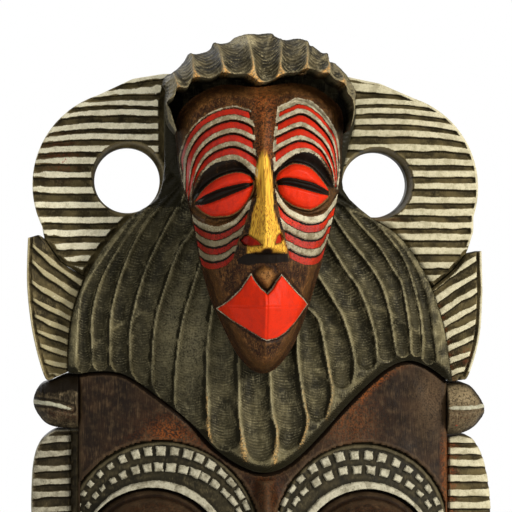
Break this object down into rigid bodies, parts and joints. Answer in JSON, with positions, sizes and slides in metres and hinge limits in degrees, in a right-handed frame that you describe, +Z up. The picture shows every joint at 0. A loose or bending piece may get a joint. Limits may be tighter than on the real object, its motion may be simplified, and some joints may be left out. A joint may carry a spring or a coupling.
{
  "type": "carved wooden wall mask",
  "caption": "Tall carved wooden wall mask with closed eyes under fluted hair, topped by a small painted mask with a gouged crown, flanked by striped ear loops and leaf-shaped fins.",
  "frame": {"origin": "on the flat back of the hair block, on the middle line, 64 mm below the hinge of the hanging ring", "axes": "+Z up along the mask's height, the carving faces -Y, +Y points into the wall that the mask hangs on, +X to a viewer's right"},
  "size_m": [0.2325, 0.1015, 0.4335],
  "materials": {
    "dark_wood": "hand-carved hardwood, stained dark brown and waxed, rubbed orange on the high spots",
    "olive_hair_paint": "gouged wood under a thin dark olive wash, worn pale along the ridges",
    "painted_small_face": "carved wood with red, silver and gold paint over a dark brown stain",
    "striped_board": "carved wood with worn silver-grey lands between dark grooves",
    "brow_squares": "carved wood, small silver-grey squares between dark cuts",
    "dowel_wood": "plain turned wood",
    "hanger_steel": "zinc-plated steel"
  },
  "bodies": {
    "mask": {"main_face": "dark_wood", "coiffure": "olive_hair_paint", "small_face": "painted_small_face", "crown_cap": "olive_hair_paint", "ear_loop_left": "striped_board", "ear_loop_right": "striped_board", "leaf_fin_left": "striped_board", "leaf_fin_right": "striped_board", "ear_knob_left": "dark_wood", "ear_knob_right": "dark_wood", "side_band_left": "striped_board", "side_band_right": "striped_board", "brow_arch_left": "brow_squares", "brow_arch_right": "brow_squares", "eye_left": "dark_wood", "eye_right": "dark_wood", "side_dowels": "dowel_wood", "loop_dowels": "dowel_wood", "face_dowels": "dowel_wood", "hairline_dowels": "dowel_wood", "hanger_strap": "hanger_steel", "hanger_screw": "hanger_steel"},
    "ring": {"hanger_ring": "hanger_steel"}
  },
  "joints": [
    {"name": "ring_hinge", "type": "hinge", "parent": "mask", "child": "ring", "pos_m": [0, -0.0046, 0.064], "axis": [1, 0, 0], "range_deg": [0, 175]}
  ]
}
